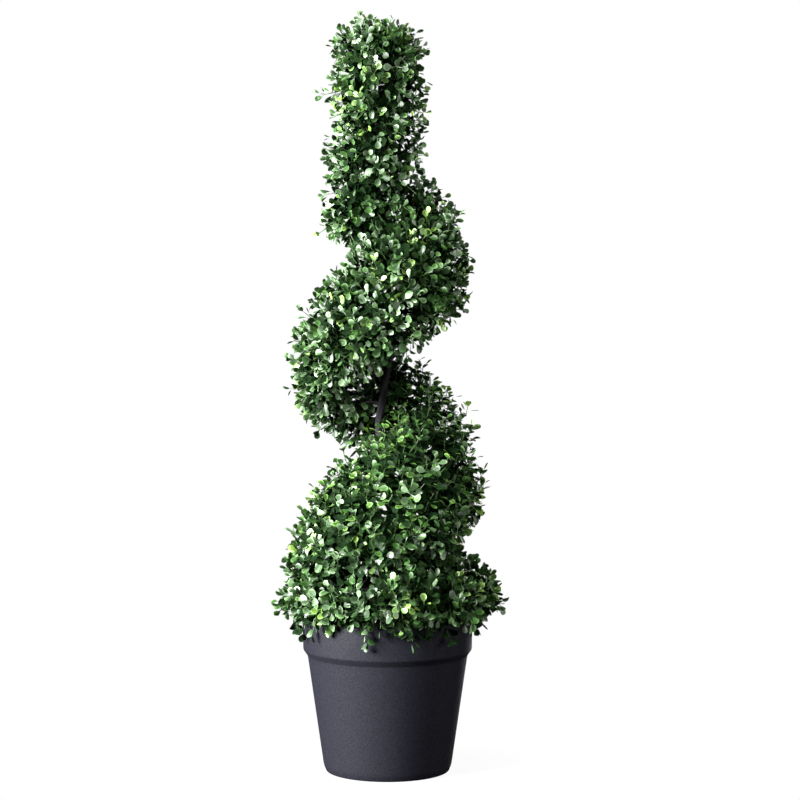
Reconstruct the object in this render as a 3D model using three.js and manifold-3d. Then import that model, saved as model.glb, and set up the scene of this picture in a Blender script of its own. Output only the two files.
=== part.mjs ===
// Potted artificial spiral topiary: a ribbon of small boxwood-like leaves winds two turns up a
// wandering stem, from a broad collar over the pot's rim into a round column at the top.
// Millimetres, +Z up. The origin is the centre of the pot's flat underside.
import * as THREE from 'three';
import { mergeVertices } from 'three/addons/utils/BufferGeometryUtils.js';
import Module from 'manifold-3d';

const wasm = await Module();
wasm.setup();

// ---- Driving dimensions ----

const GAP = 0.3; // left between touching pieces
const CLEARANCE = 1; // left round the trunk, and between the ribbon and the column
const TURN = 2 * Math.PI;

const POT = {
  footRadius: 69,
  cornerRadius: 7,
  wallTopRadius: 94,
  wallTop: 132,
  neckRadius: 95,
  neckTop: 138,
  bandRadius: 100,
  bandBottom: 145,
  rimRadius: 101,
  rimTop: 183,
  wall: 3.2,
  floor: 4,
  segments: 40,
  fillDepth: 15, // from the rim down to the cast plug
};
const FILL_TOP = POT.rimTop - POT.fillDepth;

const TRUNK = {
  foot: FILL_TOP + GAP,
  tip: 850,
  footRadius: 6.6,
  tipRadius: 3.8,
  flare: 3.2, // added to the radius at the foot
  flareHeight: 26,
  wander: 8.5, // sideways swing of the stem
  wanderDepth: 0.45, // swing from front to back, as a share of that
  wanderStart: 0.17, // share of its height over which the swing sets in
  wanderPeriod: 260,
  wanderLow: 404, // a height at which it swings furthest to the left
  lean: -9, // sideways shift of the tip
  strands: 3,
  strandDepth: 0.13, // of the radius
  strandPitch: 190, // height of one twist
};

// Centre line of the ribbon: turns from +X, counter-clockwise seen from above.
const RIBBON = {
  stations: [
    { turn: 0.25, height: 220, radius: 67 },
    { turn: 0.5, height: 265, radius: 67 },
    { turn: 0.68, height: 316, radius: 67 },
    { turn: 1, height: 371, radius: 61 },
    { turn: 1.5, height: 505, radius: 61 },
    { turn: 2, height: 624, radius: 45.5 },
    { turn: 2.5, height: 711, radius: 20 },
  ],
  from: 0.25,
  to: 2.5,
  halfWidth: 55, // away from the stem
  halfHeight: 79,
  droop: 0.6, // the outer edge hangs this much lower for each millimetre outward
  innerRadius: 7,
};

const COLUMN = {
  left: -16.5, // sideways place of its axis at the foot
  middle: -9,
  tipShift: -12,
  radius: 60,
  foot: 648, // where its slanted underside meets the axis
  slant: 0.5, // rise of the underside per millimetre to the right
  top: 895,
  dome: 64, // height of the rounded top
  lowerEdge: 26, // height of the rounded lower edge
  roundness: 2.5, // power of the rounded ends, 2 being elliptical
  split: 792,
  meetsTurn: 1.5, // the ribbon touches it above this turn
};

const COLLAR = {
  shift: 2.5,
  centre: 206,
  radius: 132,
  upper: 72,
  lower: 50,
};

const UNEVEN = 4.2; // height of the bumps on the masses of foliage

// ---- Meshes and solids ----

function closedLoft(rings) {
  const count = rings[0].length;
  const points = rings.flat();
  const faces = [];
  for (let i = 0; i < rings.length - 1; i++) {
    for (let j = 0; j < count; j++) {
      const a = i * count + j;
      const b = i * count + ((j + 1) % count);
      faces.push(a, b, b + count, a, b + count, a + count);
    }
  }
  for (const end of [0, rings.length - 1]) {
    const middle = new THREE.Vector3();
    rings[end].forEach((point) => middle.addScaledVector(point, 1 / count));
    const hub = points.push(middle) - 1;
    for (let j = 0; j < count; j++) {
      const a = end * count + j;
      const b = end * count + ((j + 1) % count);
      faces.push(...(end === 0 ? [hub, b, a] : [hub, a, b]));
    }
  }
  const geometry = new THREE.BufferGeometry().setFromPoints(points);
  geometry.setIndex(faces);
  return geometry;
}

function solid(geometry) {
  const bare = geometry.clone();
  bare.deleteAttribute('normal');
  bare.deleteAttribute('uv');
  const merged = mergeVertices(bare);
  return new wasm.Manifold(new wasm.Mesh({
    numProp: 3,
    vertProperties: merged.getAttribute('position').array,
    triVerts: Uint32Array.from(merged.getIndex().array),
  }));
}

// The largest body of a solid that cutting may have left in pieces.
function largest(shape) {
  const bodies = shape.decompose();
  return bodies.reduce((best, body) => (body.volume() > best.volume() ? body : best));
}

function geometryOf(shape) {
  const { vertProperties, triVerts } = shape.getMesh();
  const geometry = new THREE.BufferGeometry();
  geometry.setAttribute('position', new THREE.BufferAttribute(vertProperties, 3));
  geometry.setIndex(new THREE.BufferAttribute(triVerts, 1));
  geometry.computeVertexNormals();
  return geometry;
}

// ---- Shared curves ----

// Smooth value of one key along the ribbon's stations.
function along(turn, key) {
  const list = RIBBON.stations;
  let i = 0;
  while (i < list.length - 2 && turn > list[i + 1].turn) {
    i++;
  }
  const slope = (k) => {
    const a = list[Math.max(k - 1, 0)];
    const b = list[Math.min(k + 1, list.length - 1)];
    return (b[key] - a[key]) / (b.turn - a.turn);
  };
  const span = list[i + 1].turn - list[i].turn;
  const t = (turn - list[i].turn) / span;
  const ease = t * t * (3 - 2 * t);
  const leave = t * (1 - t) * (1 - t) * span * slope(i);
  const arrive = t * t * (t - 1) * span * slope(i + 1);
  return list[i][key] * (1 - ease) + list[i + 1][key] * ease + leave + arrive;
}

// Low bumps, different at every place on the plant.
function bump(x, y, z) {
  const broad = Math.sin(x / 17 + z / 23) * Math.sin(y / 19 - z / 31);
  const narrow = Math.sin(x / 9 - y / 13) * Math.sin(z / 11 + y / 15);
  return UNEVEN * (0.7 * broad + 0.5 * narrow);
}

// Sweeps an outline of [distance from the axis, height] pairs round the axis, between two turns.
function sweep(outlineAt, from, to, steps, shift = 0) {
  const rings = [];
  for (let i = 0; i <= steps; i++) {
    const turn = from + ((to - from) * i) / steps;
    const cos = Math.cos(TURN * turn);
    const sin = Math.sin(TURN * turn);
    const place = ([out, height]) => new THREE.Vector3(shift + out * cos, out * sin, height);
    rings.push(outlineAt(turn).map(place).reverse());
  }
  return closedLoft(rings);
}

// ---- Pot and its plug ----

function potProfile() {
  const p = POT;
  const corner = [];
  const arcSteps = 3;
  for (let i = 0; i <= arcSteps; i++) {
    const a = (i / arcSteps) * (Math.PI / 2);
    corner.push([
      p.footRadius + p.cornerRadius * Math.sin(a),
      p.cornerRadius * (1 - Math.cos(a)),
    ]);
  }
  const lip = 1.4;
  return [
    [0, 0],
    ...corner,
    [p.wallTopRadius, p.wallTop],
    [p.neckRadius, p.neckTop],
    [p.bandRadius, p.bandBottom],
    [p.rimRadius, p.rimTop - lip],
    [p.rimRadius - lip, p.rimTop],
    [p.rimRadius - p.wall, p.rimTop],
    [p.bandRadius - p.wall, p.bandBottom],
    [p.wallTopRadius - p.wall, p.wallTop],
    [p.footRadius + p.cornerRadius - p.wall, p.cornerRadius],
    [p.footRadius, p.floor],
    [0, p.floor],
  ];
}

function lathe(profile) {
  const points = profile.map(([r, z]) => new THREE.Vector2(r, z));
  const geometry = new THREE.LatheGeometry(points, POT.segments);
  return geometry.rotateX(Math.PI / 2);
}

function pot() {
  return geometryOf(solid(lathe(potProfile())));
}

function potFill() {
  const p = POT;
  const inset = p.wall + GAP;
  const bandShare = (FILL_TOP - p.bandBottom) / (p.rimTop - p.bandBottom);
  const topRadius = p.bandRadius + (p.rimRadius - p.bandRadius) * bandShare - inset;
  return geometryOf(solid(lathe([
    [0, p.floor + GAP],
    [p.footRadius - GAP, p.floor + GAP],
    [p.footRadius + p.cornerRadius - inset, p.cornerRadius + GAP],
    [p.wallTopRadius - inset, p.wallTop + GAP],
    [p.bandRadius - inset, p.bandBottom + GAP],
    [topRadius, FILL_TOP],
    [0, FILL_TOP],
  ])));
}

// Everything the foliage must stay clear of at the pot.
function potClearance() {
  const p = POT;
  const below = -10;
  const inside = p.bandRadius - p.wall - GAP;
  return solid(lathe([
    [0, below],
    [p.rimRadius + GAP, below],
    [p.rimRadius + GAP, p.rimTop + GAP],
    [inside, p.rimTop + GAP],
    [inside, FILL_TOP + GAP],
    [0, FILL_TOP + GAP],
  ]));
}

// ---- Trunk ----

function trunkCentre(height) {
  const t = TRUNK;
  const rise = (height - t.foot) / (t.tip - t.foot);
  const swing = t.wander * Math.min(1, rise / t.wanderStart);
  const phase = (TURN * (height - t.wanderLow)) / t.wanderPeriod;
  return {
    x: t.lean * rise * rise - swing * Math.cos(phase),
    y: t.wanderDepth * swing * Math.sin(phase),
  };
}

function trunkRadius(height) {
  const t = TRUNK;
  const rise = (height - t.foot) / (t.tip - t.foot);
  const flare = t.flare * Math.exp((-2 * (height - t.foot)) / t.flareHeight);
  return THREE.MathUtils.lerp(t.footRadius, t.tipRadius, rise) + flare;
}

// A tapering stem; its section at each height is its radius times a function of the angle.
function stemLoft(sides, grow, sectionAt) {
  const t = TRUNK;
  const steps = 28;
  const rings = [];
  for (let i = 0; i <= steps; i++) {
    const height = THREE.MathUtils.lerp(t.foot - grow, t.tip + grow, i / steps);
    const { x, y } = trunkCentre(height);
    const ring = [];
    for (let j = 0; j < sides; j++) {
      const a = (TURN * j) / sides;
      const radius = trunkRadius(height) * sectionAt(a, height) + grow;
      ring.push(new THREE.Vector3(x + radius * Math.cos(a), y + radius * Math.sin(a), height));
    }
    rings.push(ring);
  }
  return closedLoft(rings);
}

function trunk() {
  const t = TRUNK;
  const sides = 12;
  const strands = (a, height) => {
    const twist = (TURN * height) / t.strandPitch;
    return 1 + t.strandDepth * Math.cos(t.strands * (a - twist));
  };
  return geometryOf(solid(stemLoft(sides, 0, strands)));
}

// A plain round hole for the trunk, wide enough for its strands.
function trunkSpace() {
  const sides = 8;
  return solid(stemLoft(sides, CLEARANCE, () => 1 + TRUNK.strandDepth));
}

// ---- Masses of foliage ----

// Where the outline would cross the plant's axis, it stops there and closes along it.
function ribbonOutline(turn, grow) {
  const r = RIBBON;
  const sides = 18;
  const centre = along(turn, 'radius');
  const height = along(turn, 'height');
  const inner = r.innerRadius - grow;
  const crossing = Math.max((r.innerRadius - centre) / r.halfWidth, -1);
  const last = Math.min(Math.PI * (1 - 1 / sides), Math.acos(crossing));
  const outline = [];
  for (let j = 0; j < sides; j++) {
    const a = last * ((2 * j) / (sides - 1) - 1);
    const out = centre + r.halfWidth * Math.cos(a);
    const up = height + r.halfHeight * Math.sin(a) - r.droop * r.halfWidth * Math.cos(a);
    const x = out * Math.cos(TURN * turn);
    const y = out * Math.sin(TURN * turn);
    const push = bump(x, y, up) + grow;
    outline.push([Math.max(out + push * Math.cos(a), inner), up + push * Math.sin(a)]);
  }
  return outline;
}

function ribbonPiece(from, to, grow = 0) {
  const stepsPerTurn = 28;
  const steps = stepsPerTurn * (to - from);
  return solid(sweep((turn) => ribbonOutline(turn, grow), from, to, steps));
}

function collarOutline(turn, grow) {
  const c = COLLAR;
  const steps = 10;
  const inner = 1;
  const outline = [];
  for (let j = 0; j <= steps; j++) {
    const a = Math.PI * (j / steps - 0.5);
    const out = c.radius * Math.cos(a);
    const up = (a > 0 ? c.upper : c.lower) * Math.sin(a);
    const x = out * Math.cos(TURN * turn);
    const y = out * Math.sin(TURN * turn);
    const push = bump(x, y, c.centre + up) + grow;
    outline.push([
      Math.max(out + push * Math.cos(a), inner),
      c.centre + up + push * Math.sin(a),
    ]);
  }
  return outline;
}

function collarPiece(from, to, grow = 0) {
  const steps = 7;
  return solid(sweep((turn) => collarOutline(turn, grow), from, to, steps, COLLAR.shift));
}

function columnAxis(height) {
  const c = COLUMN;
  const low = 700;
  const high = 800;
  if (height < high) {
    return THREE.MathUtils.mapLinear(Math.max(height, low), low, high, c.left, c.middle);
  }
  return THREE.MathUtils.mapLinear(height, high, c.top, c.middle, c.tipShift);
}

// Share of the full radius at a distance from a rounded end.
function rounded(distance, height) {
  const rest = Math.max(0, 1 - distance / height);
  return (1 - rest ** COLUMN.roundness) ** (1 / COLUMN.roundness);
}

// Rings that tilt less and less, from the slanted underside to the level top.
function columnSolid() {
  const c = COLUMN;
  const sides = 22;
  const steps = 14;
  const blunt = 0.5;
  const rings = [];
  for (let i = 0; i <= steps; i++) {
    const share = (1 - Math.cos((Math.PI * i) / steps)) / 2;
    const level = THREE.MathUtils.lerp(c.foot, c.top - blunt, share);
    const radius = c.radius
      * rounded(c.top - level, c.dome) * rounded(level - c.foot + blunt, c.lowerEdge);
    const ring = [];
    for (let j = 0; j < sides; j++) {
      const a = (TURN * j) / sides;
      const x = columnAxis(level) + radius * Math.cos(a);
      const y = radius * Math.sin(a);
      const height = level + c.slant * (1 - share) ** 2 * x;
      const push = (bump(x, y, height) * radius) / c.radius;
      ring.push(new THREE.Vector3(x + push * Math.cos(a), y + push * Math.sin(a), height));
    }
    rings.push(ring);
  }
  return solid(closedLoft(rings));
}

// Thin blades that part the quarter turns from each other.
function quarterGaps(shift) {
  const size = 2000;
  const across = new THREE.BoxGeometry(size, GAP, size);
  const lengthwise = new THREE.BoxGeometry(GAP, size, size).translate(shift, 0, 0);
  return solid(across).add(solid(lengthwise));
}

// A large block with its level top at a height.
function blockBelow(height) {
  const size = 2000;
  return solid(new THREE.BoxGeometry(size, size, size).translate(0, 0, height - size / 2));
}

// ---- Assembly ----

const finishes = {
  pot: new THREE.MeshStandardMaterial({ color: 0x34363d, roughness: 0.55, metalness: 0 }),
  plug: new THREE.MeshStandardMaterial({ color: 0x2b2824, roughness: 0.95, metalness: 0 }),
  bark: new THREE.MeshStandardMaterial({ color: 0x3c3741, roughness: 0.8, metalness: 0 }),
  foliage: new THREE.MeshStandardMaterial({ color: 0x3f6b35, roughness: 0.5, metalness: 0 }),
};

const topiary = new THREE.Group();

function addMesh(name, geometry, finish) {
  const mesh = new THREE.Mesh(geometry, finish);
  mesh.name = name;
  topiary.add(mesh);
}

const QUARTERS = ['back_right', 'back_left', 'front_left', 'front_right'];

// Quarter-turn stretches of the ribbon, between its two ends.
function ribbonStretches() {
  const stretches = [];
  const quarter = 0.25;
  for (let q = RIBBON.from / quarter; q * quarter < RIBBON.to; q++) {
    const name = `spiral_${Math.floor(q / 4) + 1}_${QUARTERS[q % 4]}`;
    stretches.push({ name, from: q * quarter, to: (q + 1) * quarter });
  }
  return stretches;
}

function addPotAndTrunk() {
  addMesh('pot', pot(), finishes.pot);
  addMesh('pot_plug', potFill(), finishes.plug);
  addMesh('trunk', trunk(), finishes.bark);
}

function addCollar(trunkHole) {
  const space = potClearance().add(trunkHole).add(quarterGaps(COLLAR.shift));
  QUARTERS.forEach((quarter, q) => {
    const piece = collarPiece(q / 4, (q + 1) / 4).subtract(space);
    addMesh(`collar_${quarter}`, geometryOf(largest(piece)), finishes.foliage);
  });
}

function addSpiral(trunkHole) {
  const grownCollar = QUARTERS
    .map((_, q) => collarPiece(q / 4, (q + 1) / 4, GAP))
    .reduce((all, piece) => all.add(piece));
  const space = potClearance().add(trunkHole).add(quarterGaps(0)).add(grownCollar);
  for (const { name, from, to } of ribbonStretches()) {
    const piece = ribbonPiece(from, to).subtract(space);
    addMesh(name, geometryOf(largest(piece)), finishes.foliage);
  }
}

function addColumn(trunkHole) {
  const c = COLUMN;
  const ribbonSpace = ribbonPiece(c.meetsTurn, RIBBON.to, CLEARANCE);
  const column = columnSolid().subtract(ribbonSpace).subtract(trunkHole);
  const lower = column.intersect(blockBelow(c.split));
  const upper = column.subtract(blockBelow(c.split + GAP));
  addMesh('column_lower', geometryOf(largest(lower)), finishes.foliage);
  addMesh('column_top', geometryOf(largest(upper)), finishes.foliage);
}

const trunkHole = trunkSpace();
addPotAndTrunk();
addCollar(trunkHole);
addSpiral(trunkHole);
addColumn(trunkHole);

export default topiary;
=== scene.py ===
"""Looks of the artificial spiral topiary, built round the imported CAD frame.

Metres, +Z up. The masses of foliage in the frame say where leaves may reach. Inside each one boughs
leave the trunk, fork into twigs, and end in leafy sprays whose tips lie near that mass's surface.
"""
import math

import bpy
import numpy as np
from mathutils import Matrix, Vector
from mathutils.bvhtree import BVHTree


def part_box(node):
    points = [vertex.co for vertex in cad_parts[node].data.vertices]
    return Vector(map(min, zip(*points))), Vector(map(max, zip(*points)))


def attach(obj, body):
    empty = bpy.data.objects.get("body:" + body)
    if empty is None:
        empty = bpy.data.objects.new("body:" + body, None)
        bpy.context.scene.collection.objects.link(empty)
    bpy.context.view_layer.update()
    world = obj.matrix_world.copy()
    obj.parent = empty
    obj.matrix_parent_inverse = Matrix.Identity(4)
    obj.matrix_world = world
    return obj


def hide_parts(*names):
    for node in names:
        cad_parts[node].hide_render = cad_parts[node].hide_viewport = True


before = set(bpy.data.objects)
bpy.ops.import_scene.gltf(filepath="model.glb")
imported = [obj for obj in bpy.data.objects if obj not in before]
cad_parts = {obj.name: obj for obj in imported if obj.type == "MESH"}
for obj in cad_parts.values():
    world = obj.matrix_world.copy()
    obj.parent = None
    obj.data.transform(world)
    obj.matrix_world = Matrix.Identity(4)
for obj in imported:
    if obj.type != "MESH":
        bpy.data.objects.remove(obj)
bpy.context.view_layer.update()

MM = 0.001
TAU = 2 * math.pi
SEED = 23
UP = np.array([0.0, 0.0, 1.0])
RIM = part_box("pot")[1]  # x is its outer radius and z its height

# ---- Sizes ----

POT = {
    "sides": 144,
    "foot_radius": 76 * MM,  # where the round lower corner ends
    "corner": 7 * MM,
    "wall_radius": 94 * MM,
    "wall_top": 132 * MM,
    "neck_radius": 95 * MM,
    "neck_top": 138 * MM,
    "band_radius": 100 * MM,
    "band_bottom": 145 * MM,
    "wall": 3.2 * MM,
    "floor": 4 * MM,
}

TRUNK = {
    "stream": 50,  # of random numbers
    "rings": 300,
    "sides": 54,
    "share": 0.8,  # of the CAD trunk's radius
    "strands": 3,
    "strand_depth": 0.2,
    "strand_roundness": 0.6,
    "strand_middle": 0.72,  # of the strands' shape, so that they go in as much as out
    "strand_pitch": 190 * MM,
    "fibres": (7, 11, 16, 23),  # round the trunk, in each of the waves that make them
    "fibre_drift": 60,
    "fibre": 0.22 * MM,
    "round_tip": 4 * MM,
}

LEAF = {
    "length": 16.8 * MM,  # with its stalk
    "width": 9.0 * MM,
    "stalk": 0.31,  # share of the length
    "fold": 0.35,  # at most, along its middle
    "bend": (-0.08, 0.3),  # mean and spread; more than 0 is downwards
    "bend_gain": 1.6,
    "width_range": (0.88, 1.12),
    "size_range": (0.78, 1.1),
    "finer": ([0.25, 0.5, 0.8], [1.0, 0.94, 0.85]),  # heights, and the size of the leaves there
    "jitter": 0.2,  # radians, in a leaf's place round its stem and in its angle from it
    "most_in_wall": 0.2,  # a leaf with more than this share in the pot's wall is left out
    "share_grown": 0.94,
}

SPRAY = {
    "area": 258 * MM * MM,  # of the mass's surface, for each spray
    "tries": 12,  # points tried for each spray
    "fewest": 8,
    "spacing": 9.2 * MM,  # least distance between two tips
    "depth": 10.3 * MM,  # of the stem's tip below the surface
    "depth_spread": 3.4 * MM,
    "stem": 30 * MM,
    "arch": 0.8,  # share of the stem's length over which it turns to its heading
    "stem_radii": (0.8 * MM, 0.45 * MM),
}

LIMBS = {
    "fork": 6,  # sprays on a twig, and twigs on a bough
    "twig_depth": 26 * MM,
    "twig_radii": (1.3 * MM, 0.7 * MM),
    "twig_sag": 3 * MM,
    "bough_share": 0.45,  # of the way from the twigs to the trunk
    "bough_radii": (2.6 * MM, 1.5 * MM),
    "bough_arch": 4 * MM,
    "trunk_end": 4 * MM,  # no bough leaves the trunk closer to its ends
}

# How much nearer the surface the tips of some sprays lie than the rest. Less than 0 is deeper.
RAISED = {
    "upswept": 12 * MM,
    "hanging": 3 * MM,
    "crown": -7 * MM,
    "hollow": -6 * MM,
    "crowded": 15 * MM,
}

HOLLOW_GAPS = 0.55  # share of the sprays that a dark hollow loses

# Stray sprays stand out of the surface, and their leaves are further apart.
STRAY_CHANCES = {"hanging": 0.45, "crowning": 0.3, "below": 0.2, "rest": 0.1}
STRAY = {
    "reach": (4, 11),  # millimetres
    "hanging_reach": 0.7,  # share of the reach
    "uplift": 0.4,  # share of the uplift that is left
    "looseness": 1.7,
    "looseness_lost": 0.5,  # where fully upswept
    "hanging_looseness": 1.3,
}

# How a spray's heading departs from straight out of the surface.
HEADING = {
    "side_share": 0.7,  # of a mass's sweep, on its upright sides
    "crown_rise": 0.8,
    "hanging_fall": 0.6,
    "onwards": (0.35, 0.35),  # mean and spread of the lean along the spiral, where upswept
}

# Painted shade: how likely a spray is to be given a dark tone where shade falls.
PAINTED_SHADE_RULE = {
    "underneath": 1.5,  # for each unit that its outward direction points below the level
    "underneath_from": 0.75,
    "towards_trunk": 0.2,
    "most": 0.8,
    "sunken_from": 1.5 * MM,
    "sunken_range": 3 * MM,
}

# Sprays of the collar that hang outside the pot's rim.
DRAPE = {
    "above": 3 * MM,  # tips lower than this over the rim
    "inside": 8 * MM,  # and no further than this inside it
    "clear": 5 * MM,  # where their tips go, outside the rim
    "reach": 16 * MM,  # the lowest tips, below the rim
    "bridge": 15 * MM,  # where their stems start, above the rim
}

# How far the sprays of some masses sweep upwards, where the mass starts and where it ends.
FULL_SWEEP = 9.0
UPSWEPT = {
    "spiral_1_front_left": (1.0, 8.0),
    "spiral_1_front_right": (8.0, 7.0),
    "spiral_2_back_right": (8.0, 2.0),
}

# (share of sprays, colour of the blade, colour of the rim). Tones with no share are given below.
LEAF_TONES = {
    # deep: a dark green dealt out at random, and also the painted shade of shaded sprays and lower
    # leaves
    "deep": (0.16, (0.007, 0.038, 0.001), (0.024, 0.080, 0.009)),
    "dark": (0.27, (0.017, 0.070, 0.004), (0.060, 0.156, 0.026)),
    "mid": (0.20, (0.038, 0.106, 0.018), (0.128, 0.250, 0.078)),
    # grey: partly a grey-green leaf colour and partly painted sheen, paler and greyer like
    # sheen-lit leaves; dealt out at random
    "grey": (0.16, (0.056, 0.118, 0.042), (0.145, 0.242, 0.110)),
    "fresh": (0.10, (0.086, 0.192, 0.030), (0.240, 0.420, 0.110)),
    "lime": (0.065, (0.130, 0.275, 0.024), (0.280, 0.460, 0.090)),
    "edged": (0.0, (0.036, 0.120, 0.008), (0.200, 0.400, 0.060)),
    # inner: near-black painted shade for leaves and sprays where shade falls inside the foliage
    "inner": (0.0, (0.004, 0.015, 0.003), (0.006, 0.022, 0.004)),
}
DEEP = list(LEAF_TONES).index("deep")
EDGED = list(LEAF_TONES).index("edged")
# the near-black painted-shade tone
PAINTED_SHADE_TONE = list(LEAF_TONES).index("inner")

# Chances that a spray or a leaf takes another tone than the one dealt out. All but the edged one
# are painted shade: deep or near-black tones inside the foliage.
TONE_CHANCES = {
    "edged": 0.7,  # of a fully upswept spray
    "painted_shade_black_spray": 0.45,  # of a shaded spray; the other shaded ones are deep
    "painted_shade_deep_leaf": 0.32,  # of a leaf below the first pair
    "painted_shade_black_leaf": 0.6,  # of a packed spray's leaf from the third pair down
    "painted_shade_black_swept": 0.15,  # more than that where the spray is upswept
    "painted_shade_black_low": 0.92,  # from the fourth pair down
}

# What changes from a plain spray to a fully upswept one.
DISORDER = [0.25, 0.09]
ROLL = [0.25, 0.09]
CURL = {"column": 0.8, "rest": 0.7, "swept": 0.4}

FOLIAGE_GROUPS = {
    "collar": ["collar_front_left", "collar_front_right", "collar_back_left", "collar_back_right"],
    "spiral_low": ["spiral_1_back_left", "spiral_1_front_left", "spiral_1_front_right"],
    "spiral_middle": ["spiral_2_back_right", "spiral_2_back_left"],
    "spiral_high": ["spiral_2_front_left", "spiral_2_front_right", "spiral_3_back_right",
                    "spiral_3_back_left"],
    "column": ["column_lower", "column_top"],
}


# ---- Arrays and meshes ----

def unit(vectors):
    """The vectors at length one."""
    return vectors / np.maximum(np.linalg.norm(vectors, axis=-1, keepdims=True), 1e-12)


def add_piece(name, points, faces, materials, nodes, face_slots=None):
    """A smooth mesh from arrays, riding on the plant's one body."""
    sides = faces.shape[1]
    mesh = bpy.data.meshes.new(name)
    mesh.vertices.add(len(points))
    mesh.vertices.foreach_set("co", np.ascontiguousarray(points, np.float32).ravel())
    mesh.loops.add(faces.size)
    mesh.loops.foreach_set("vertex_index", np.ascontiguousarray(faces, np.int32).ravel())
    mesh.polygons.add(len(faces))
    mesh.polygons.foreach_set("loop_start", np.arange(0, faces.size, sides, dtype=np.int32))
    for material in materials:
        mesh.materials.append(material)
    if face_slots is not None:
        mesh.polygons.foreach_set("material_index", face_slots.astype(np.int32))
    mesh.update(calc_edges=True)
    mesh.shade_smooth()
    piece = bpy.data.objects.new(name, mesh)
    bpy.context.scene.collection.objects.link(piece)
    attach(piece, "root")
    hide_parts(*nodes)


def node_triangles(name):
    """A CAD node's triangles, as an array of corner points."""
    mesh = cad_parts[name].data
    mesh.calc_loop_triangles()
    points = np.empty(len(mesh.vertices) * 3, np.float32)
    mesh.vertices.foreach_get("co", points)
    corners = np.empty(len(mesh.loop_triangles) * 3, np.int32)
    mesh.loop_triangles.foreach_get("vertices", corners)
    return points.reshape(-1, 3).astype(float)[corners.reshape(-1, 3)]


def side_axes(directions):
    """Two unit vectors square to each direction and to each other."""
    helper = np.where(np.abs(directions[:, 2:3]) < 0.9, [[0.0, 0.0, 1.0]], [[1.0, 0.0, 0.0]])
    across = unit(np.cross(helper, directions))
    return across, np.cross(directions, across)


def bezier(starts, controls, ends, steps):
    """Points and unit tangents along many quadratic curves, as (curve, step, 3) arrays."""
    t = np.linspace(0, 1, steps)[None, :, None]
    a, b, c = starts[:, None], controls[:, None], ends[:, None]
    points = (1 - t) ** 2 * a + 2 * t * (1 - t) * b + t ** 2 * c
    tangents = unit(2 * (1 - t) * (b - a) + 2 * t * (c - b))
    return points, tangents


def tubes(points, tangents, radii, sides):
    """Thin tapering tubes round many curves, as points and triangles; radii are for each step."""
    curves, steps = points.shape[:2]
    across, along = side_axes(tangents.reshape(-1, 3))
    angles = TAU * np.arange(sides) / sides
    cosines, sines = np.cos(angles)[None, :, None], np.sin(angles)[None, :, None]
    ring = cosines * across[:, None] + sines * along[:, None]
    skin = points.reshape(-1, 1, 3) + np.tile(radii, curves).reshape(-1, 1, 1) * ring
    base = np.arange(curves)[:, None, None] * steps * sides
    lower = base + np.arange(steps - 1)[None, :, None] * sides
    j = np.arange(sides)[None, None, :]
    k = (j + 1) % sides
    a, b, c, d = lower + j, lower + k, lower + sides + k, lower + sides + j
    faces = np.concatenate([np.stack([a, b, c], -1), np.stack([a, c, d], -1)]).reshape(-1, 3)
    return skin.reshape(-1, 3), faces


# ---- Materials ----

def new_material(name, colour, roughness):
    """A Principled material, its shader and its tree."""
    material = bpy.data.materials.new(name)
    material.use_nodes = True
    tree = material.node_tree
    shader = tree.nodes["Principled BSDF"]
    shader.inputs["Base Color"].default_value = (*colour, 1)
    shader.inputs["Roughness"].default_value = roughness
    return material, shader, tree


def object_noise(tree, scale, detail=3.0, stretch=(1, 1, 1)):
    """Noise that is fixed to the object."""
    place = tree.nodes.new("ShaderNodeTexCoord")
    mapping = tree.nodes.new("ShaderNodeMapping")
    mapping.inputs["Scale"].default_value = stretch
    noise = tree.nodes.new("ShaderNodeTexNoise")
    noise.inputs["Scale"].default_value = scale
    noise.inputs["Detail"].default_value = detail
    tree.links.new(place.outputs["Object"], mapping.inputs["Vector"])
    tree.links.new(mapping.outputs["Vector"], noise.inputs["Vector"])
    return noise.outputs["Fac"]


def add_ramp(tree, factor, stops):
    """A colour ramp over a factor; stops are (place, colour)."""
    ramp = tree.nodes.new("ShaderNodeValToRGB")
    elements = ramp.color_ramp.elements
    for i, (place, colour) in enumerate(stops):
        element = elements[i] if i < len(elements) else elements.new(place)
        element.position = place
        element.color = (*colour, 1)
    tree.links.new(factor, ramp.inputs["Fac"])
    return ramp.outputs["Color"]


def add_range(tree, factor, low, high):
    """Noise carried to a range of values."""
    usual_least, usual_most = 0.3, 0.7
    node = tree.nodes.new("ShaderNodeMapRange")
    node.inputs["From Min"].default_value = usual_least
    node.inputs["From Max"].default_value = usual_most
    node.inputs["To Min"].default_value = low
    node.inputs["To Max"].default_value = high
    tree.links.new(factor, node.inputs["Value"])
    return node.outputs["Result"]


def add_bump(tree, shader, height, strength, distance):
    """A bump on the shader's normal."""
    bump = tree.nodes.new("ShaderNodeBump")
    bump.inputs["Strength"].default_value = strength
    bump.inputs["Distance"].default_value = distance
    tree.links.new(height, bump.inputs["Height"])
    tree.links.new(bump.outputs["Normal"], shader.inputs["Normal"])


def pot_material():
    """Dark slate-blue moulded plastic with a fine sandy grain."""
    material, shader, tree = new_material("pot_plastic", (0.018, 0.020, 0.030), 0.6)
    shader.inputs["Specular IOR Level"].default_value = 0.14
    fine = object_noise(tree, 640, 2)
    dark, light = (0.0066, 0.0069, 0.0106), (0.0142, 0.0146, 0.0208)
    colour = add_ramp(tree, fine, [(0.36, dark), (0.66, light)])
    tree.links.new(colour, shader.inputs["Base Color"])
    tree.links.new(add_range(tree, fine, 0.72, 0.6), shader.inputs["Roughness"])
    add_bump(tree, shader, fine, 0.35, 0.4 * MM)
    return material


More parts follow.
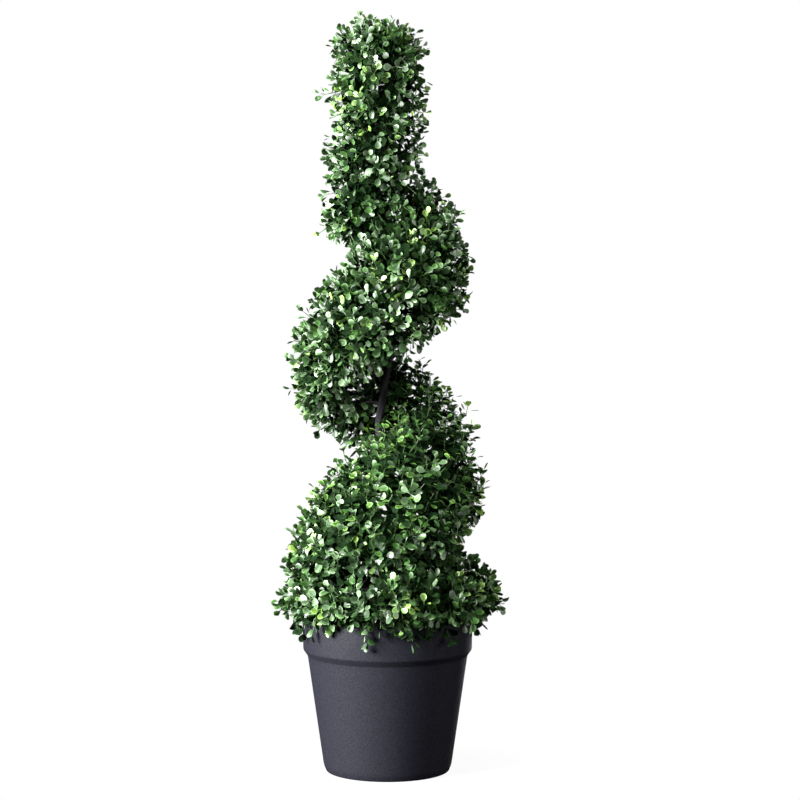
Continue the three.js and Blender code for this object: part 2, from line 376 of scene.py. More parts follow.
def plug_material():
    """Dark, rough dressing in the pot."""
    material, shader, tree = new_material("pot_dressing", (0.02, 0.017, 0.013), 0.95)
    grain = object_noise(tree, 260, 6)
    dark, light = (0.009, 0.008, 0.006), (0.045, 0.036, 0.025)
    colour = add_ramp(tree, grain, [(0.35, dark), (0.7, light)])
    tree.links.new(colour, shader.inputs["Base Color"])
    add_bump(tree, shader, grain, 0.8, 2 * MM)
    return material


def bark_material():
    """Dark purplish-grey bark with long fibres."""
    material, shader, tree = new_material("bark", (0.04, 0.034, 0.045), 0.7)
    fibres = object_noise(tree, 420, 4, (1, 1, 0.06))
    patches = object_noise(tree, 60, 3, (1, 1, 0.3))
    dark, light = (0.0015, 0.0012, 0.0018), (0.009, 0.0078, 0.0105)
    colour = add_ramp(tree, fibres, [(0.34, dark), (0.72, light)])
    tree.links.new(colour, shader.inputs["Base Color"])
    tree.links.new(add_range(tree, patches, 0.55, 0.8), shader.inputs["Roughness"])
    shader.inputs["Specular IOR Level"].default_value = 0.25
    add_bump(tree, shader, fibres, 0.7, 0.5 * MM)
    return material


def twig_material():
    """Dark green moulded stems."""
    return new_material("twig_plastic", (0.050, 0.100, 0.028), 0.4)[0]


def bough_material():
    """Dark boughs, in the bark's colour."""
    return new_material("bough_bark", (0.018, 0.015, 0.017), 0.8)[0]


def leaf_materials():
    """Two plain satin colours for each tone: blade, then rim. The inner tone, near-black painted
    shade, is dull.
    """
    made = []
    for name, (_, blade, rim) in LEAF_TONES.items():
        dull = name == "inner"
        roughness = 0.8 if dull else 0.52
        sheen = 0.1 if dull else 1.0
        ior = 1.5 if name in ("deep", "dark", "inner") else 1.68
        for part, colour in (("blade", blade), ("rim", rim)):
            material, shader, _ = new_material(f"leaf_{name}_{part}", colour, roughness)
            shader.inputs["Specular IOR Level"].default_value = sheen
            shader.inputs["IOR"].default_value = ior
            made.append(material)
    return made


# ---- Leaves ----

# Places across a leaf, as shares of its half width. Rows of five have a rim along each edge.
COLUMNS = {1: [0], 2: [-1, 1], 3: [-1, 0, 1], 5: [-1, -0.78, 0, 0.78, 1]}


def leaf_grid(rows):
    """Template of a leaf from rows of (place along it, half width, columns): points and triangles.

    A point is (place, half width, share of the half width from -1 to 1). The last column of a
    triangle is 1 on the pale rim: along the edges of wide rows, and where the tip narrows.
    """
    points, faces, starts = [], [], []
    for place, half, columns in rows:
        starts.append(len(points))
        points += [(place, half, share) for share in COLUMNS[columns]]
    for row in range(len(rows) - 1):
        a, b = starts[row], starts[row + 1]
        m, n = rows[row][2], rows[row + 1][2]
        i = j = 0
        while i < m - 1 or j < n - 1:
            step_near = j == n - 1 or (i < m - 1 and (i + 1) * (n - 1) <= (j + 1) * (m - 1))
            edge = n >= 5 and (m < 5 and j in (0, n - 2) or m >= 5 and min(i, j) in (0, m - 2))
            rim = int(n < m or edge)
            if step_near:
                faces.append((a + i, a + i + 1, b + j, rim))
                i += 1
            else:
                faces.append((a + i, b + j + 1, b + j, rim))
                j += 1
    return np.array(points, float), np.array(faces, int)


STALK = LEAF["stalk"]
FINE_LEAF = leaf_grid([
    (0.0, 0.045, 2),
    (STALK, 0.05, 2),
    (0.41, 0.18, 5),
    (0.53, 0.37, 5),
    (0.70, 0.49, 5),
    (0.86, 0.44, 5),
    (0.96, 0.26, 3),
    (1.0, 0.0, 1),
])
PLAIN_LEAF = leaf_grid([
    (0.0, 0.05, 2),
    (STALK, 0.06, 2),
    (0.52, 0.36, 3),
    (0.80, 0.49, 3),
    (0.95, 0.28, 2),
])


def in_pot_wall(points):
    """Whether points below the pot's rim lie in its wall or close to it on the inside."""
    near = 5 * MM
    heights = points[..., 2]
    radii = np.linalg.norm(points[..., :2], axis=-1)
    outside = np.interp(heights, [POT["band_bottom"], RIM.z], [POT["band_radius"], RIM.x])
    return (heights < RIM.z) & (radii < outside) & (radii > outside - POT["wall"] - near)


def leaf_meshes(grid, feet, axes, faces_up, sizes, tones, rolls, curls, rng):
    """Leaves at their feet, pointing along axes with their upper sides towards faces_up.

    Rolls say how far they may turn about their own axes, and curls how far from flat they may be.
    Leaves that would stick through the pot's wall are left out.
    """
    template, triangles = grid
    count = len(feet)
    place, half, share = template.T
    along = unit(axes)
    up = unit(faces_up - np.sum(faces_up * along, axis=1, keepdims=True) * along)
    roll = (rolls * rng.normal(0, 1, count))[:, None]
    side = np.cross(along, up)
    side, up = np.cos(roll) * side + np.sin(roll) * up, np.cos(roll) * up - np.sin(roll) * side
    length = LEAF["length"] * sizes[:, None]
    width = LEAF["width"] * sizes[:, None] * rng.uniform(*LEAF["width_range"], count)[:, None]
    cup = (curls * rng.uniform(0, 1, count))[:, None]
    fold = (curls * rng.uniform(0, LEAF["fold"], count))[:, None]
    bend = (curls * rng.normal(*LEAF["bend"], count))[:, None]
    x = width * half * share
    y = length * place
    beyond = np.maximum(place - STALK, 0)
    crease = cup * (half * share) ** 2 + fold * np.abs(half * share)
    z = width * crease - length * bend * beyond ** 2 * LEAF["bend_gain"]
    points = (feet[:, None] + x[..., None] * side[:, None] + y[..., None] * along[:, None]
              + z[..., None] * up[:, None])
    clear = in_pot_wall(points).mean(axis=1) < LEAF["most_in_wall"]
    points, tones = points[clear], tones[clear]
    offsets = np.arange(len(points))[:, None, None] * len(template)
    faces = (offsets + triangles[:, :3]).reshape(-1, 3)
    slots = (2 * tones[:, None] + triangles[None, :, 3]).reshape(-1)
    return points.reshape(-1, 3), faces, slots


# ---- Where foliage may grow ----

MASSES = [name for names in FOLIAGE_GROUPS.values() for name in names]
OPEN_ROOM = 30 * MM  # with this much before it, a place counts as open


def surface_samples(name, others, rng):
    """Points spread over the outside of a mass, with outward directions and the room before each.

    Cut faces, which touch the next mass, are left out.
    """
    triangles = node_triangles(name)
    a, b, c = triangles[:, 0], triangles[:, 1], triangles[:, 2]
    normals = np.cross(b - a, c - a)
    areas = np.linalg.norm(normals, axis=1) / 2
    tries = int(areas.sum() / SPRAY["area"] * SPRAY["tries"])
    pick = rng.choice(len(areas), tries, p=areas / areas.sum())
    u, v = rng.random((2, tries, 1))
    flip = u + v > 1
    u, v = np.where(flip, 1 - u, u), np.where(flip, 1 - v, v)
    points = a[pick] + u * (b[pick] - a[pick]) + v * (c[pick] - a[pick])
    outward = unit(normals[pick])
    touching = 2.5 * MM
    start = 0.05 * MM
    room = np.full(tries, OPEN_ROOM)
    for index, (point, normal) in enumerate(zip(points, outward)):
        hit = others.ray_cast(Vector(point + start * normal), Vector(normal), OPEN_ROOM)
        if hit[0] is not None:
            room[index] = hit[3]
    shown = room > touching
    return points[shown], outward[shown], room[shown]


def neighbours(cells, key):
    """What a grid of cells holds in a cell and the ones round it."""
    return [
        other
        for dx in (-1, 0, 1) for dy in (-1, 0, 1) for dz in (-1, 0, 1)
        for other in cells.get((key[0] + dx, key[1] + dy, key[2] + dz), ())
    ]


def thin_out(points, spacing):
    """Indices of points no closer together than the spacing, taken in order."""
    cells = {}
    kept = []
    for index, point in enumerate(points):
        key = tuple(np.floor(point / spacing).astype(int))
        near = neighbours(cells, key)
        if all(np.sum((points[other] - point) ** 2) >= spacing ** 2 for other in near):
            cells.setdefault(key, []).append(index)
            kept.append(index)
    return np.array(kept)


def smooth_directions(points, directions, radius):
    """Each direction averaged with its neighbours', so that the CAD's facets don't show."""
    same_side = 0.2  # least cosine between directions that are averaged
    cells = {}
    keys = [tuple(key) for key in np.floor(points / radius).astype(int)]
    for index, key in enumerate(keys):
        cells.setdefault(key, []).append(index)
    smooth = np.empty_like(directions)
    for index, key in enumerate(keys):
        near = neighbours(cells, key)
        agree = directions[near] @ directions[index] > same_side
        smooth[index] = directions[near][agree].sum(axis=0)
    return unit(smooth)


# ---- The branching rule ----

def clusters(points, size, rng):
    """Labels that part points into compact groups of about a size (k-means, a few rounds)."""
    count = max(1, round(len(points) / size))
    centres = points[rng.choice(len(points), count, replace=False)]
    rounds = 6
    for _ in range(rounds):
        labels = np.argmin(((points[:, None] - centres[None]) ** 2).sum(-1), axis=1)
        for k in range(count):
            if np.any(labels == k):
                centres[k] = points[labels == k].mean(axis=0)
    _, labels = np.unique(labels, return_inverse=True)
    return labels


def group_means(points, labels):
    """Mean point of each group."""
    return np.stack([points[labels == k].mean(axis=0) for k in range(labels.max() + 1)])


class Trunk:
    """The trunk's centre line and radius at each height, read from its CAD solid."""

    def __init__(self):
        same_height = 0.02 * MM
        corners = node_triangles("trunk").reshape(-1, 3)
        heights = np.unique(corners[:, 2].round(5))
        rings = [corners[np.abs(corners[:, 2] - h) < same_height] for h in heights]
        self.heights = heights
        self.centres = np.array([(ring.min(axis=0) + ring.max(axis=0))[:2] / 2 for ring in rings])
        self.radii = np.array([
            np.median(np.linalg.norm(ring[:, :2] - centre, axis=1))
            for ring, centre in zip(rings, self.centres)
        ])
        self.foot = heights[0]
        self.tip = heights[-1]

    def at(self, heights):
        """Centre points at heights, eased between the solid's rings."""
        x = np.interp(heights, self.heights, self.centres[:, 0])
        y = np.interp(heights, self.heights, self.centres[:, 1])
        return np.stack([x, y, heights], axis=-1)

    def radius(self, heights):
        """Radii at heights."""
        return np.interp(heights, self.heights, self.radii)


def hollows(points):
    """How much of a dark hollow lies at each point, from 0 to 1, in a smooth, uneven pattern."""
    waves = [((97, 41, 58), 0.4), ((-52, 88, 71), 2.1), ((35, -63, 101), 4.4)]
    height = sum(np.sin(points @ np.array(wave) + phase) for wave, phase in waves)
    least, full = 1.1, 2.0
    return np.clip((height - least) / (full - least), 0, 1)


def spray_places(name, others, rng):
    """Points on a mass's surface for its sprays, with outward directions, room and hollowness."""
    facet_blur = 12 * MM
    points, outward, room = surface_samples(name, others, rng)
    outward = smooth_directions(points, outward, facet_blur)
    wanted = max(int(len(points) / SPRAY["tries"]), SPRAY["fewest"])
    kept = thin_out(points, SPRAY["spacing"])[:wanted]
    points, outward, room = points[kept], outward[kept], room[kept]
    hollow = hollows(points)
    kept = rng.random(len(points)) > HOLLOW_GAPS * hollow
    return points[kept], outward[kept], room[kept], hollow[kept]


def spray_headings(name, points, outward, hanging, trunk, rng):
    """Which way each spray points, and how far it is swept upwards, from 0 to 1."""
    count = len(points)
    quarter = (np.arctan2(points[:, 1], points[:, 0]) / (TAU / 4)) % 1
    sweep = np.interp(quarter, [0, 1], UPSWEPT.get(name, (0.0, 0.0)))
    sweep = sweep * np.clip(HEADING["side_share"] + 2 * outward[:, 2], 0, 1)
    uplift = sweep / FULL_SWEEP
    rise = sweep + HEADING["crown_rise"] * np.clip(outward[:, 2], 0, 1)
    rise = rise - HEADING["hanging_fall"] * hanging
    onwards = unit(np.cross(UP, points - trunk.at(points[:, 2])))
    lean = uplift * rng.normal(*HEADING["onwards"], count)
    upright = unit(UP + lean[:, None] * onwards)
    disorder = rng.normal(0, 1, (count, 3)) * np.interp(uplift, [0, 1], DISORDER)[:, None]
    return unit(unit(outward + rise[:, None] * upright) + disorder), uplift


def spray_depths(name, outward, room, hollow, uplift, hanging, rng):
    """How deep each spray's tip lies, how far it is sunken by chance, and whether it strays."""
    count = len(outward)
    facing_up = outward[:, 2]
    is_top = name == "column_top"
    sunken = rng.normal(0, SPRAY["depth_spread"], count)
    depth = SPRAY["depth"] + sunken
    depth = depth - RAISED["upswept"] * uplift * np.clip(facing_up, 0, 1)
    crowning = is_top & (facing_up > 0.5)
    below = (facing_up < -0.3) & (not name.startswith("collar"))
    chance = np.select(
        [hanging, crowning, below],
        [STRAY_CHANCES[kind] for kind in ("hanging", "crowning", "below")],
        STRAY_CHANCES["rest"])
    stray = rng.random(count) < chance
    depth = depth - RAISED["hanging"] * hanging
    depth = depth - RAISED["crown"] * is_top * np.clip((facing_up - 0.6) / 0.3, 0, 1)
    reach = rng.uniform(*STRAY["reach"], count) * np.where(hanging, STRAY["hanging_reach"], 1) * MM
    depth = np.where(stray, depth - reach, depth)
    crowded = np.clip(2 - 2 * room / OPEN_ROOM, 0, 1)
    depth = depth - RAISED["hollow"] * hollow - RAISED["crowded"] * crowded
    return depth, sunken, stray


def painted_spray_shade(tips, outward, sunken, trunk):
    """Painted shade: the chance of a dark tone where shade falls, underneath a mass, towards the
    trunk, or sunken.
    """
    radial = tips - trunk.at(tips[:, 2])
    facing_trunk = -np.sum(outward * radial, axis=1) / np.linalg.norm(radial, axis=1)
    underneath = -PAINTED_SHADE_RULE["underneath"] * outward[:, 2] - PAINTED_SHADE_RULE["underneath_from"]
    shade = np.maximum(underneath, PAINTED_SHADE_RULE["towards_trunk"] * facing_trunk)
    buried = (sunken - PAINTED_SHADE_RULE["sunken_from"]) / PAINTED_SHADE_RULE["sunken_range"]
    return np.maximum(np.clip(shade, 0, PAINTED_SHADE_RULE["most"]), np.clip(buried, 0, 1))


def drape(tips, heading, on_collar):
    """Sprays of the collar that reach below the pot's rim hang down outside its wall."""
    radii = np.linalg.norm(tips[:, :2], axis=1)
    draped = on_collar & (tips[:, 2] < RIM.z + DRAPE["above"]) & (radii > RIM.x - DRAPE["inside"])
    away = tips * [1, 1, 0] / radii[:, None]
    clear = RIM.x + DRAPE["clear"]
    tips = tips + away * np.where(draped, np.maximum(clear - radii, 0), 0)[:, None]
    reach = DRAPE["reach"]
    eased = RIM.z - reach * np.tanh((RIM.z - tips[:, 2]) / reach)
    tips[:, 2] = np.where(draped, eased, tips[:, 2])
    down = unit(0.5 * unit(heading) + 0.25 * away - 0.9 * UP)
    return tips, np.where(draped[:, None], down, heading), draped


def limbs(tips, outward, trunk, rng):
    """Twigs and boughs that bear the tips, and the twig of each tip."""
    twig_labels = clusters(tips, LIMBS["fork"], rng)
    twig_ends = group_means(tips - outward * LIMBS["twig_depth"], twig_labels)
    bough_labels = clusters(twig_ends, LIMBS["fork"], rng)
    means = group_means(twig_ends, bough_labels)
    lowest, highest = trunk.foot + LIMBS["trunk_end"], trunk.tip - LIMBS["trunk_end"]
    roots = trunk.at(np.clip(means[:, 2], lowest, highest))
    bough_ends = means + (roots - means) * LIMBS["bough_share"]
    return {
        "twig_starts": bough_ends[bough_labels],
        "twig_ends": twig_ends,
        "bough_starts": roots,
        "bough_ends": bough_ends,
    }, twig_labels


def grow_mass(name, others, trunk, rng):
    """Boughs, twigs and sprays of one mass."""
    points, outward, room, hollow = spray_places(name, others, rng)
    on_collar = name.startswith("collar")
    lean, spread = -0.35, 0.3  # of the outward directions along the collar's lower edge
    hanging = on_collar & (np.abs(outward[:, 2] - lean) < spread)
    heading, uplift = spray_headings(name, points, outward, hanging, trunk, rng)
    depth, sunken, stray = spray_depths(name, outward, room, hollow, uplift, hanging, rng)
    tips, heading, draped = drape(points - outward * depth[:, None], heading, on_collar)
    # painted shade: the chance that each spray takes a dark tone where shade falls
    shade = painted_spray_shade(tips, outward, sunken, trunk)
    bearers, twig_labels = limbs(tips, outward, trunk, rng)
    stem_starts = bearers["twig_ends"][twig_labels]
    over_rim = np.maximum(stem_starts[:, 2], RIM.z + DRAPE["bridge"])
    stem_starts[:, 2] = np.where(draped, over_rim, stem_starts[:, 2])
    looseness = np.where(
        hanging, STRAY["hanging_looseness"], STRAY["looseness"] - STRAY["looseness_lost"] * uplift)
    return {
        "tips": tips,
        "heading": heading,
        "shade": shade,
        "uplift": np.where(stray, STRAY["uplift"], 1) * uplift,
        "packed": ~(stray | hanging),
        "looseness": np.where(stray, looseness, 1.0),
        "stem_starts": stem_starts,
        **bearers,
    }


def joined(parts):
    """Several (points, faces, ...) meshes as one."""
    offset = 0
    points, faces, extra = [], [], []
    for part in parts:
        points.append(part[0])
        faces.append(part[1] + offset)
        extra += [slots for slots in part[2:] if slots is not None]
        offset += len(part[0])
    slots = np.concatenate(extra) if extra else None
    return np.concatenate(points), np.concatenate(faces), slots


# For each pair of leaves from the tip down: its distance below the tip, its angle from the stem in
# degrees and its size, on a plain spray and on an upswept one, and the leaf's template.
LEAF_PAIRS = [
    ((0.3 * MM, 30, 0.78), (0.3 * MM, 76, 0.72), FINE_LEAF),
    ((3.8 * MM, 51, 0.97), (5.0 * MM, 86, 0.88), FINE_LEAF),
    ((9.2 * MM, 63, 1.03), (10.5 * MM, 90, 0.94), FINE_LEAF),
    ((15.2 * MM, 72, 1.05), (16.0 * MM, 90, 0.98), FINE_LEAF),
    ((21.5 * MM, 75, 1.10), (22.0 * MM, 90, 1.02), PLAIN_LEAF),
    ((28.5 * MM, 75, 1.15), (28.5 * MM, 84, 1.10), PLAIN_LEAF),
]


def stems(mass, steps):
    """Points and tangents along the stems of a mass's sprays, which turn to their headings."""
    bends = mass["tips"] - mass["heading"] * SPRAY["stem"] * SPRAY["arch"]
    return bezier(mass["stem_starts"], bends, mass["tips"], steps)


def spray_tones(mass, rng):
    """A tone for each spray, dealt out at random, some edged where upswept; then painted shade
    gives the deep or near-black tone where shade falls.
    """
    count = len(mass["tips"])
    shares = np.array([tone[0] for tone in LEAF_TONES.values()])
    tones = rng.choice(len(shares), count, p=shares / shares.sum())
    tones = np.where(rng.random(count) < TONE_CHANCES["edged"] * mass["uplift"] ** 2, EDGED, tones)
    # painted shade: sprays where shade falls take the deep tone, some the near-black one
    shaded = rng.random(count)
    tones = np.where(shaded < mass["shade"], DEEP, tones)
    return np.where(shaded < TONE_CHANCES["painted_shade_black_spray"] * mass["shade"], PAINTED_SHADE_TONE, tones)


def pair_tones(mass, tones, number, rng):
    """Tones of one leaf of a pair on each spray; pairs are numbered from the tip. Painted shade:
    lower pairs, deeper in the foliage, often take deep or near-black tones.
    """
    darker = rng.random(len(tones))
    packed, uplift = mass["packed"], mass["uplift"]
    inner = TONE_CHANCES["painted_shade_black_leaf"] + TONE_CHANCES["painted_shade_black_swept"] * uplift
    # painted shade: lower pairs take the deep tone, and in packed sprays the near-black one
    own = np.where((number >= 1) & (darker < TONE_CHANCES["painted_shade_deep_leaf"]), DEEP, tones)
    own = np.where(packed & (number >= 2) & (darker < inner), PAINTED_SHADE_TONE, own)
    return np.where(packed & (number >= 3) & (darker < TONE_CHANCES["painted_shade_black_low"]), PAINTED_SHADE_TONE, own)


def grow_leaves(mass, curl, rng):
    """The leaves of a mass's sprays: crossed pairs down each stem, small and raised at its tip."""
    tips, heading, uplift = mass["tips"], mass["heading"], mass["uplift"]
    count = len(tips)
    each = np.arange(count)
    tones = spray_tones(mass, rng)
    steps = 16
    points, tangents = stems(mass, steps + 1)
    across, over = side_axes(heading)
    start = rng.uniform(0, TAU, count)
    reach = np.linalg.norm(tips - mass["stem_starts"], axis=1)
    finer = np.interp(tips[:, 2], *LEAF["finer"])
    curls = curl + uplift * (CURL["swept"] - curl)
    rolls = np.interp(uplift, [0, 1], ROLL)
    calm = 1 - 0.65 * uplift  # upswept leaves keep their angles better
    parts = []
    for number, (plain, swept, grid) in enumerate(LEAF_PAIRS):
        below, angle, size = (a + uplift * (b - a) for a, b in zip(plain, swept))
        step = np.round(steps * (1 - below * mass["looseness"] / reach))
        step = np.clip(step, 0, steps).astype(int)
        feet, stem = points[each, step], tangents[each, step]
        for half_turn in (0, math.pi):
            turn = start + number * TAU / 4 + half_turn + rng.normal(0, LEAF["jitter"], count)
            spread = np.cos(turn)[:, None] * across + np.sin(turn)[:, None] * over
            spread = unit(spread - np.sum(spread * stem, axis=1, keepdims=True) * stem)
            tilt = np.radians(angle) + rng.normal(0, LEAF["jitter"], count) * calm
            axes = np.cos(tilt)[:, None] * stem + np.sin(tilt)[:, None] * spread
            faces_up = np.sin(tilt)[:, None] * stem - np.cos(tilt)[:, None] * spread
            sizes = size * finer * rng.uniform(*LEAF["size_range"], count)
            own = pair_tones(mass, tones, number, rng)
            grown = rng.random(count) < LEAF["share_grown"]
            parts.append(leaf_meshes(
                grid, feet[grown], axes[grown], faces_up[grown], sizes[grown], own[grown],
                rolls[grown], curls[grown], rng))
    return joined(parts)


def grow_stems(mass):
    """The stems of the sprays, as thin tubes."""
    steps = 6
    return tubes(*stems(mass, steps), np.linspace(*SPRAY["stem_radii"], steps), 3)


def grow_boughs(mass, rng):
    """Twigs and the boughs that bear them, as thin tubes."""
    starts, ends = mass["twig_starts"], mass["twig_ends"]
    sag = rng.normal(0, LIMBS["twig_sag"], starts.shape)
    twigs = bezier(starts, (starts + ends) / 2 + sag, ends, 6)
    roots, forks = mass["bough_starts"], mass["bough_ends"]
    boughs = bezier(roots, (roots + forks) / 2 + LIMBS["bough_arch"] * UP, forks, 7)
    return joined([
        tubes(*twigs, np.linspace(*LIMBS["twig_radii"], 6), 4),
        tubes(*boughs, np.linspace(*LIMBS["bough_radii"], 7), 5),
    ])


def tree_of_others(name, triangles):
    """A search tree of everything that a mass's foliage keeps clear of."""
    rest = [triangles[other] for other in MASSES if other != name]
    corners = np.concatenate(rest + [node_triangles("pot"), node_triangles("pot_plug")])
    faces = np.arange(len(corners) * 3).reshape(-1, 3)
    return BVHTree.FromPolygons(corners.reshape(-1, 3).tolist(), faces.tolist())


def add_foliage(trunk):
    """Leaves, twigs and boughs of each group of masses, in the place of their CAD solids."""
    greens, twig, bough = leaf_materials(), [twig_material()], [bough_material()]
    triangles = {name: node_triangles(name) for name in MASSES}
    for group_number, (group, names) in enumerate(FOLIAGE_GROUPS.items()):
        curl = CURL.get(group, CURL["rest"])
        leaf_parts, stem_parts, bough_parts = [], [], []
        for number, name in enumerate(names):
            rng = np.random.default_rng([SEED, group_number, number])
            mass = grow_mass(name, tree_of_others(name, triangles), trunk, rng)
            leaf_parts.append(grow_leaves(mass, curl, rng))
            stem_parts.append(grow_stems(mass))
            bough_parts.append(grow_boughs(mass, rng))
        points, faces, slots = joined(leaf_parts)
        add_piece(f"leaves_{group}", points, faces, greens, names, slots)
        points, faces, _ = joined(stem_parts)
        add_piece(f"twigs_{group}", points, faces, twig, names)
        points, faces, _ = joined(bough_parts)
        add_piece(f"boughs_{group}", points, faces, bough, names)


# ---- Trunk, pot and dressing ----

def strip_quads(rows, sides):
    """Quads between neighbouring rows of points that each go once round."""
    i, j = np.meshgrid(np.arange(rows - 1), np.arange(sides), indexing="ij")
    k = (j + 1) % sides
    quads = [i * sides + j, i * sides + k, (i + 1) * sides + k, (i + 1) * sides + j]
    return np.stack(quads, -1).reshape(-1, 4)


def add_trunk(trunk):
    """Twisted strands with long fibres, in the place of the CAD's plain trunk."""
    t = TRUNK
    rings, sides = t["rings"], t["sides"]
    rng = np.random.default_rng([SEED, t["stream"]])
    heights = np.linspace(trunk.foot, trunk.tip, rings)
    angles = TAU * np.arange(sides) / sides
    h, a = np.meshgrid(heights, angles, indexing="ij")
    twist = TAU * h / t["strand_pitch"]
    strand = np.abs(np.cos(t["strands"] / 2 * (a - twist))) ** t["strand_roundness"]
    shape = 1 + t["strand_depth"] * (strand - t["strand_middle"])
    count = len(t["fibres"])
    phases = rng.uniform(0, TAU, count)
    drifts = rng.uniform(-t["fibre_drift"], t["fibre_drift"], count)
    fibres = sum(
        np.sin(k * (a - twist) + phase + drift * h)
        for k, phase, drift in zip(t["fibres"], phases, drifts))
    radius = t["share"] * trunk.radius(h) * shape + t["fibre"] * fibres / 2
    radius = radius * np.sqrt(np.clip((trunk.tip - h) / t["round_tip"], 0.05, 1))
    centres = trunk.at(heights)[:, None]
    points = centres + np.stack([radius * np.cos(a), radius * np.sin(a), np.zeros_like(a)], -1)
    points = points.reshape(-1, 3)
    quads = strip_quads(rings, sides)
    parts = [quads[:, [0, 1, 2]], quads[:, [0, 2, 3]]]
    for row, order in ((0, 1), (rings - 1, -1)):
        hub = len(points)
        points = np.concatenate([points, [centres[row, 0]]])
        ring = row * sides + np.arange(sides)
        parts.append(np.stack([np.full(sides, hub), np.roll(ring, -1), ring][::order], -1))
    add_piece("trunk_bark", points, np.concatenate(parts), [bark_material()], ["trunk"])


AXIS = 0.01 * MM  # radius of an outline's ends, just off the axis


def rounded_outline(corners):
    """An outline through (radius, height, fillet) corners, with each corner rounded."""
    steps = 6
    room = 0.48  # share of a side that one fillet may take
    points = []
    for i, (r, z, fillet) in enumerate(corners):
        here = np.array([r, z])
        if fillet == 0 or i in (0, len(corners) - 1):
            points.append(here)
            continue
        before = np.array(corners[i - 1][:2]) - here
        after = np.array(corners[i + 1][:2]) - here
        reach = min(fillet, room * np.linalg.norm(before), room * np.linalg.norm(after))
        start = here + before / np.linalg.norm(before) * reach
        end = here + after / np.linalg.norm(after) * reach
        for t in np.linspace(0, 1, steps):
            points.append((1 - t) ** 2 * start + 2 * t * (1 - t) * here + t ** 2 * end)
    return np.array(points)


def revolved(outline, sides):
    """Quads of an outline turned about the axis; its first and last points lie next to the axis."""
    angles = TAU * np.arange(sides) / sides
    r, z = outline[:, :1], outline[:, 1:]
    points = np.stack([r * np.cos(angles), r * np.sin(angles), np.tile(z, (1, sides))], -1)
    return points.reshape(-1, 3), strip_quads(len(outline), sides)


def add_pot():
    """The pot's shell with its rounded edges."""
    p = POT
    inner = p["wall"]
    outline = rounded_outline([
        (AXIS, 0, 0),
        (p["foot_radius"] - 3 * MM, 0, 1 * MM),
        (p["foot_radius"], p["corner"], 6 * MM),
        (p["wall_radius"], p["wall_top"], 1.8 * MM),
        (p["neck_radius"], p["neck_top"], 0.9 * MM),
        (p["band_radius"], p["band_bottom"], 1.5 * MM),
        (RIM.x, RIM.z, 1.8 * MM),
        (RIM.x - inner, RIM.z, 1.5 * MM),
        (p["band_radius"] - inner, p["band_bottom"], 2 * MM),
        (p["wall_radius"] - inner, p["wall_top"], 2 * MM),
        (p["foot_radius"] - inner, p["corner"], 5 * MM),
        (p["foot_radius"] - 3 * inner, p["floor"], 4 * MM),
        (AXIS, p["floor"], 0),
    ])
    points, faces = revolved(outline, p["sides"])
    add_piece("pot_shell", points, faces, [pot_material()], ["pot"])


def add_plug():
    """The dressing round the trunk's foot: an uneven disc over a plain side and underside."""
    low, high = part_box("pot_plug")
    top_radius = high.x - 0.5 * MM
    foot_radius = POT["foot_radius"] - POT["wall"] - 2 * MM
    rings = np.linspace(AXIS, top_radius, 30)
    outline = [(AXIS, low.z), (foot_radius, low.z + 1 * MM), (top_radius, high.z - 6 * MM)]
    outline += [(r, high.z) for r in rings[::-1]]
    points, faces = revolved(np.array(outline), 96)
    top = points[:, 2] > high.z - 1 * MM
    x, y = points[top, 0], points[top, 1]
    clods = np.sin(x * 310 + y * 170) * np.sin(y * 260 - x * 90)
    crumbs = np.sin(x * 730) * np.sin(y * 810)
    highest = 1.5
    points[top, 2] += (clods + 0.5 * crumbs - highest) * 0.7 * MM
    add_piece("pot_dressing", points, faces, [plug_material()], ["pot_plug"])


# ---- Stage, light and camera ----

def add_floor():
    """A pale round floor that fades to white towards its edge."""
    size = 6.0
    mesh = bpy.data.meshes.new("floor")
    corners = [(-size, -size, 0), (size, -size, 0), (size, size, 0), (-size, size, 0)]
    mesh.from_pydata(corners, [], [(0, 1, 2, 3)])
    floor = bpy.data.objects.new("floor", mesh)
    bpy.context.scene.collection.objects.link(floor)
    material, shader, tree = new_material("floor_paper", (0.9, 0.9, 0.9), 0.9)
    place = tree.nodes.new("ShaderNodeTexCoord")
    length = tree.nodes.new("ShaderNodeVectorMath")
    length.operation = "LENGTH"
    fade = tree.nodes.new("ShaderNodeMapRange")
    fade.interpolation_type = "SMOOTHSTEP"
    fade.inputs["From Min"].default_value = 0.09  # metres from the axis
    fade.inputs["From Max"].default_value = 0.22
    fade.inputs["To Min"].default_value = 0.93  # how white it is there, so that shadows are faint
    white = tree.nodes.new("ShaderNodeEmission")
    mix = tree.nodes.new("ShaderNodeMixShader")
    output = tree.nodes["Material Output"]
    tree.links.new(place.outputs["Object"], length.inputs[0])
    tree.links.new(length.outputs["Value"], fade.inputs["Value"])
    tree.links.new(fade.outputs["Result"], mix.inputs["Fac"])
    tree.links.new(shader.outputs["BSDF"], mix.inputs[1])
    tree.links.new(white.outputs["Emission"], mix.inputs[2])
    tree.links.new(mix.outputs["Shader"], output.inputs["Surface"])
    mesh.materials.append(material)
    floor.visible_diffuse = False
    floor.visible_glossy = False


def add_light(name, place, target, size, power, glossy=True):
    """A square soft box aimed at a point; one that isn't glossy gives no highlights."""
    light = bpy.data.lights.new(name, "AREA")
    light.size = size
    light.energy = power
    lamp = bpy.data.objects.new(name, light)
    lamp.visible_glossy = glossy
    aim(lamp, place, target)


def aim(thing, place, target):
    """Puts a lamp or camera in its place, turned to a point."""
    thing.location = place
    thing.rotation_euler = (Vector(target) - Vector(place)).to_track_quat("-Z", "Y").to_euler()
    bpy.context.scene.collection.objects.link(thing)


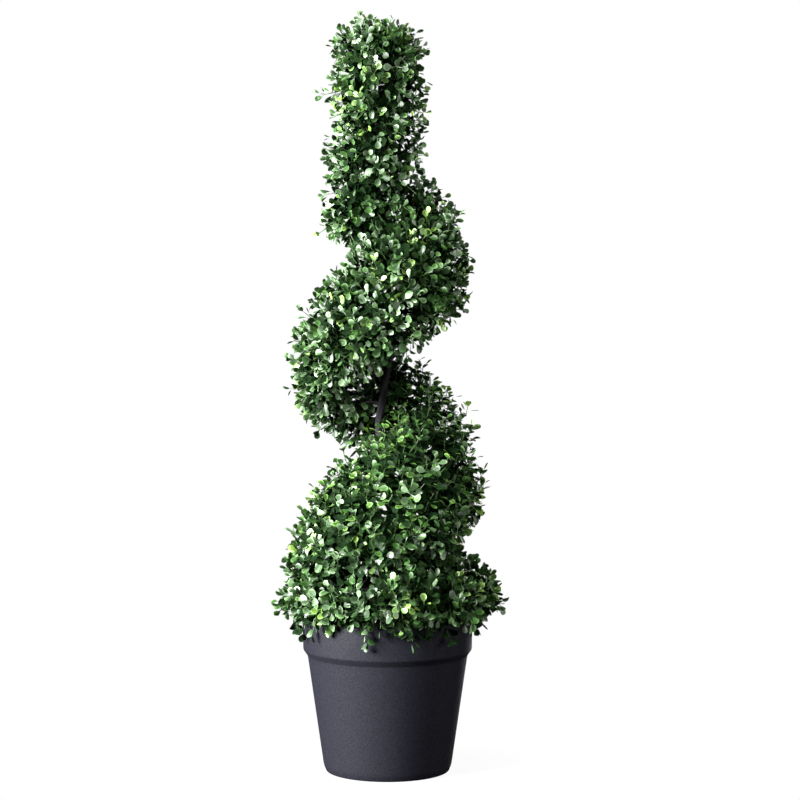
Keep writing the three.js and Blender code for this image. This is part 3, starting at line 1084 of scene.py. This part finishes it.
def add_world():
    """Even white behind the plant, and soft light from it that is weaker on the right."""
    world = bpy.data.worlds.new("studio")
    world.use_nodes = True
    world.cycles_visibility.glossy = False
    bpy.context.scene.world = world
    tree = world.node_tree
    ground = tree.nodes["Background"]
    ground.inputs["Color"].default_value = (1, 1, 1, 1)
    place = tree.nodes.new("ShaderNodeTexCoord")
    side = tree.nodes.new("ShaderNodeVectorMath")
    side.operation = "DOT_PRODUCT"
    side.inputs[1].default_value = (-0.85, -0.1, 0.5)  # towards the bright side
    level = tree.nodes.new("ShaderNodeMapRange")
    level.inputs["From Min"].default_value = -0.7
    level.inputs["From Max"].default_value = 0.9
    level.inputs["To Min"].default_value = 0.009
    level.inputs["To Max"].default_value = 0.046
    rays = tree.nodes.new("ShaderNodeLightPath")
    mix = tree.nodes.new("ShaderNodeMix")
    mix.inputs["B"].default_value = 1.0
    tree.links.new(place.outputs["Generated"], side.inputs[0])
    tree.links.new(side.outputs["Value"], level.inputs["Value"])
    tree.links.new(level.outputs["Result"], mix.inputs["A"])
    tree.links.new(rays.outputs["Is Camera Ray"], mix.inputs["Factor"])
    tree.links.new(mix.outputs["Result"], ground.inputs["Strength"])


def add_camera():
    """The camera in front of the plant, a little above its middle."""
    data = bpy.data.cameras.new("camera")
    camera = bpy.data.objects.new("camera", data)
    place = Vector((0.0147, -2.8, 0.6))
    target = Vector((0.0147, 0, 0.44))
    width_seen = 0.944
    data.sensor_width = 36
    data.lens = data.sensor_width * (target - place).length / width_seen
    data.clip_end = 50
    aim(camera, place, target)
    bpy.context.scene.camera = camera


bpy.context.scene.view_settings.view_transform = "Standard"
add_camera()
add_world()
add_floor()
add_light("key", (-2.2, -1.25, 0.95), (0, 0, 0.45), 1.4, 465)
add_light("fill", (0.9, -2.2, 2.0), (0, 0, 0.4), 1.0, 30, glossy=False)
add_light("right", (2.4, -0.6, 0.6), (0, 0, 0.3), 1.2, 27)
add_light("back", (0.7, 2.7, 0.6), (0, 0, 0.45), 1.8, 95)
main_stem = Trunk()
add_pot()
add_plug()
add_trunk(main_stem)
add_foliage(main_stem)
